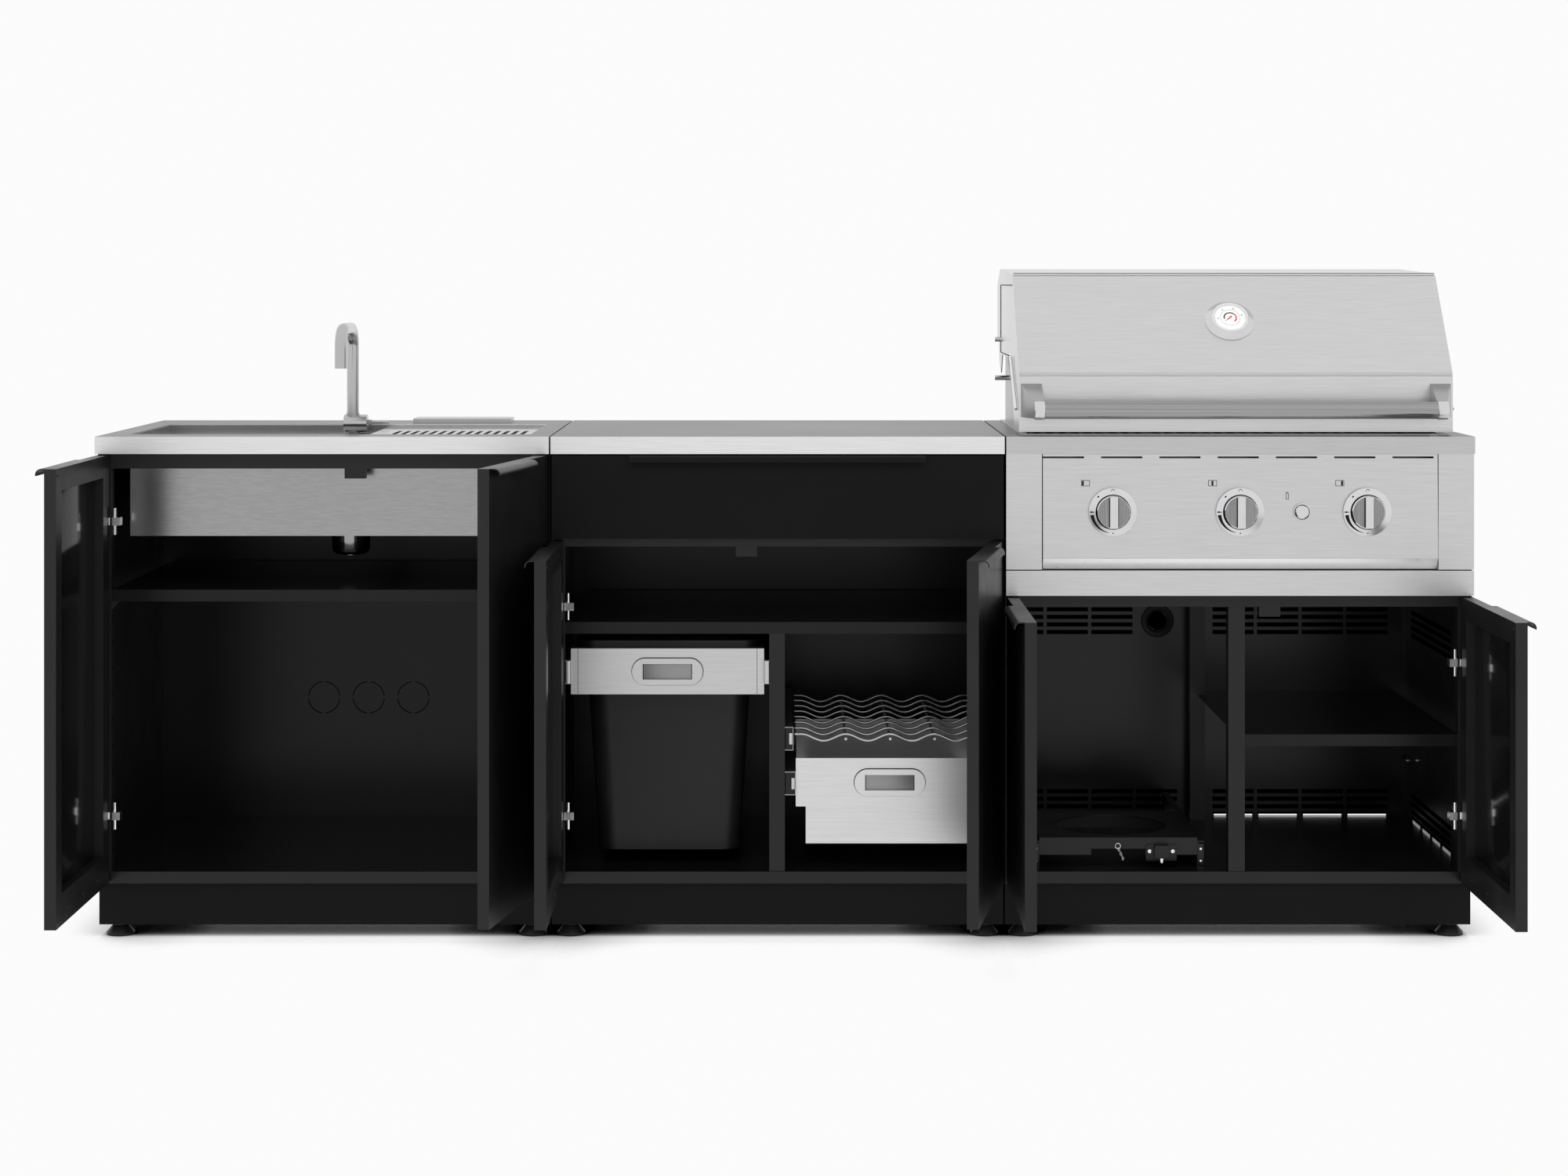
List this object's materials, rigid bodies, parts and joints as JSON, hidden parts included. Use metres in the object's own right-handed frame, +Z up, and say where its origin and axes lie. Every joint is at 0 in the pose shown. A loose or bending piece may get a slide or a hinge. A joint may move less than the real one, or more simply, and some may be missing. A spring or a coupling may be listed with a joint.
{
  "type": "outdoor kitchen island",
  "caption": "Outdoor kitchen island of joined steel cabinets with a sink, a drawer cabinet with pull-outs, and a hooded gas grill over storage.",
  "frame": {"origin": "centre of the bounding box on the floor, at rest with the doors open as pictured", "axes": "+X to the right along the island, +Y to the back, +Z up"},
  "size_m": [2.498, 1.0032, 1.202],
  "materials": {
    "steel_top": "brushed stainless steel",
    "steel_bright": "polished steel",
    "steel_inner": "satin stainless steel",
    "black_coat": "fine-textured black powder coat",
    "black_inner": "satin black powder coat",
    "black_plastic": "moulded black plastic",
    "enamel": "porcelain enamel",
    "iron": "seasoned cast iron"
  },
  "bodies": {
    "island": {"sink_sides": "black_coat", "centre_sides": "black_coat", "grill_sides": "black_coat", "sink_back": "black_coat", "centre_back": "black_coat", "grill_back": "black_coat", "sink_rail": "black_coat", "centre_rail": "black_coat", "grill_rail": "black_coat", "sink_shelf": "black_inner", "centre_shelf": "black_inner", "grill_shelf": "black_inner", "floor_panels": "black_inner", "toe_kicks": "black_coat", "feet": "black_plastic", "sink_top": "steel_top", "centre_top": "steel_top", "grill_top": "steel_top", "basin": "steel_inner", "drain_tray": "steel_inner", "deck_cover": "steel_top", "drain": "steel_bright", "faucet_body": "steel_bright", "divider": "black_coat", "slides": "steel_inner", "grill_posts": "black_coat", "grill_frame": "steel_top", "control_panel": "steel_top", "knob_bezels": "steel_bright", "gas_manifold": "steel_inner", "firebox": "steel_inner", "burners": "steel_inner", "flame_tamers": "steel_inner", "cooking_grates": "iron", "grease_tray": "steel_inner", "hood_pins": "steel_bright", "tank_rails": "black_coat", "hinges": "steel_bright", "door_catches": "black_plastic"},
    "sink_left_leaf": {"sink_left_door": "black_coat"},
    "sink_right_leaf": {"sink_right_door": "black_coat"},
    "centre_left_leaf": {"centre_left_door": "black_coat"},
    "centre_right_leaf": {"centre_right_door": "black_coat"},
    "grill_left_leaf": {"grill_left_door": "black_coat"},
    "grill_right_leaf": {"grill_right_door": "black_coat"},
    "drawer": {"top_drawer": "black_coat"},
    "bin_pull_out": {"bin_frame": "steel_inner", "bin": "black_plastic"},
    "rack": {"wine_rack": "steel_bright"},
    "cooler": {"cooler_drawer": "steel_inner"},
    "tank_slide": {"tank_tray": "black_coat"},
    "lid": {"hood": "steel_top", "hood_handle": "steel_bright", "thermometer": "steel_bright"},
    "knob_left": {"left_knob": "steel_bright"},
    "knob_centre": {"centre_knob": "steel_bright"},
    "knob_right": {"right_knob": "steel_bright"},
    "igniter": {"igniter_button": "black_plastic"},
    "spout": {"faucet_spout": "steel_bright"},
    "lever": {"faucet_lever": "steel_bright"}
  },
  "joints": [
    {"name": "sink_left_door_hinge", "type": "hinge", "parent": "island", "child": "sink_left_leaf", "pos_m": [-1.222, -0.09605, 0.2188], "axis": [0, 0, -1], "range_deg": [-90, 0]},
    {"name": "sink_right_door_hinge", "type": "hinge", "parent": "island", "child": "sink_right_leaf", "pos_m": [-0.434, -0.09605, 0.2188], "axis": [0, 0, 1], "range_deg": [-80, 0]},
    {"name": "centre_left_door_hinge", "type": "hinge", "parent": "island", "child": "centre_left_leaf", "pos_m": [-0.407, -0.09605, 0.2188], "axis": [0, 0, -1], "range_deg": [-90, 0]},
    {"name": "centre_right_door_hinge", "type": "hinge", "parent": "island", "child": "centre_right_leaf", "pos_m": [0.381, -0.09605, 0.2188], "axis": [0, 0, 1], "range_deg": [-80, 0]},
    {"name": "grill_left_door_hinge", "type": "hinge", "parent": "island", "child": "grill_left_leaf", "pos_m": [0.408, -0.09605, 0.2188], "axis": [0, 0, -1], "range_deg": [-90, 0]},
    {"name": "grill_right_door_hinge", "type": "hinge", "parent": "island", "child": "grill_right_leaf", "pos_m": [1.222, -0.09605, 0.2188], "axis": [0, 0, 1], "range_deg": [-90, 0]},
    {"name": "top_drawer_slide", "type": "slide", "parent": "island", "child": "drawer", "axis": [0, -1, 0], "range_m": [0, 0.45]},
    {"name": "bin_slide", "type": "slide", "parent": "island", "child": "bin_pull_out", "axis": [0, -1, 0], "range_m": [0, 0.4]},
    {"name": "wine_rack_slide", "type": "slide", "parent": "island", "child": "rack", "axis": [0, -1, 0], "range_m": [0, 0.09]},
    {"name": "cooler_slide", "type": "slide", "parent": "island", "child": "cooler", "axis": [0, -1, 0], "range_m": [0, 0.11]},
    {"name": "tank_slide", "type": "slide", "parent": "island", "child": "tank_slide", "axis": [0, -1, 0], "range_m": [0, 0.2]},
    {"name": "hood_hinge", "type": "hinge", "parent": "island", "child": "lid", "pos_m": [0.813, 0.39195, 1.065], "axis": [-1, 0, 0], "range_deg": [0, 85]},
    {"name": "left_knob_turn", "type": "hinge", "parent": "island", "child": "knob_left", "pos_m": [0.5857, -0.11805, 0.7676], "axis": [0, -1, 0], "range_deg": [0, 180]},
    {"name": "centre_knob_turn", "type": "hinge", "parent": "island", "child": "knob_centre", "pos_m": [0.813, -0.11805, 0.7676], "axis": [0, -1, 0], "range_deg": [0, 180]},
    {"name": "right_knob_turn", "type": "hinge", "parent": "island", "child": "knob_right", "pos_m": [1.0403, -0.11805, 0.7676], "axis": [0, -1, 0], "range_deg": [0, 180]},
    {"name": "igniter_push", "type": "slide", "parent": "island", "child": "igniter", "axis": [0, 1, 0], "range_m": [0, 0.004], "stiffness_N_per_m": 400, "springref_m": -0.002},
    {"name": "spout_swivel", "type": "hinge", "parent": "island", "child": "spout", "pos_m": [-0.8292, 0.29695, 1], "axis": [0, 0, 1], "range_deg": [-90, 90]},
    {"name": "lever_lift", "type": "hinge", "parent": "island", "child": "lever", "pos_m": [-0.7964, 0.29695, 0.9082], "axis": [0, -1, 0], "range_deg": [0, 25]}
  ]
}
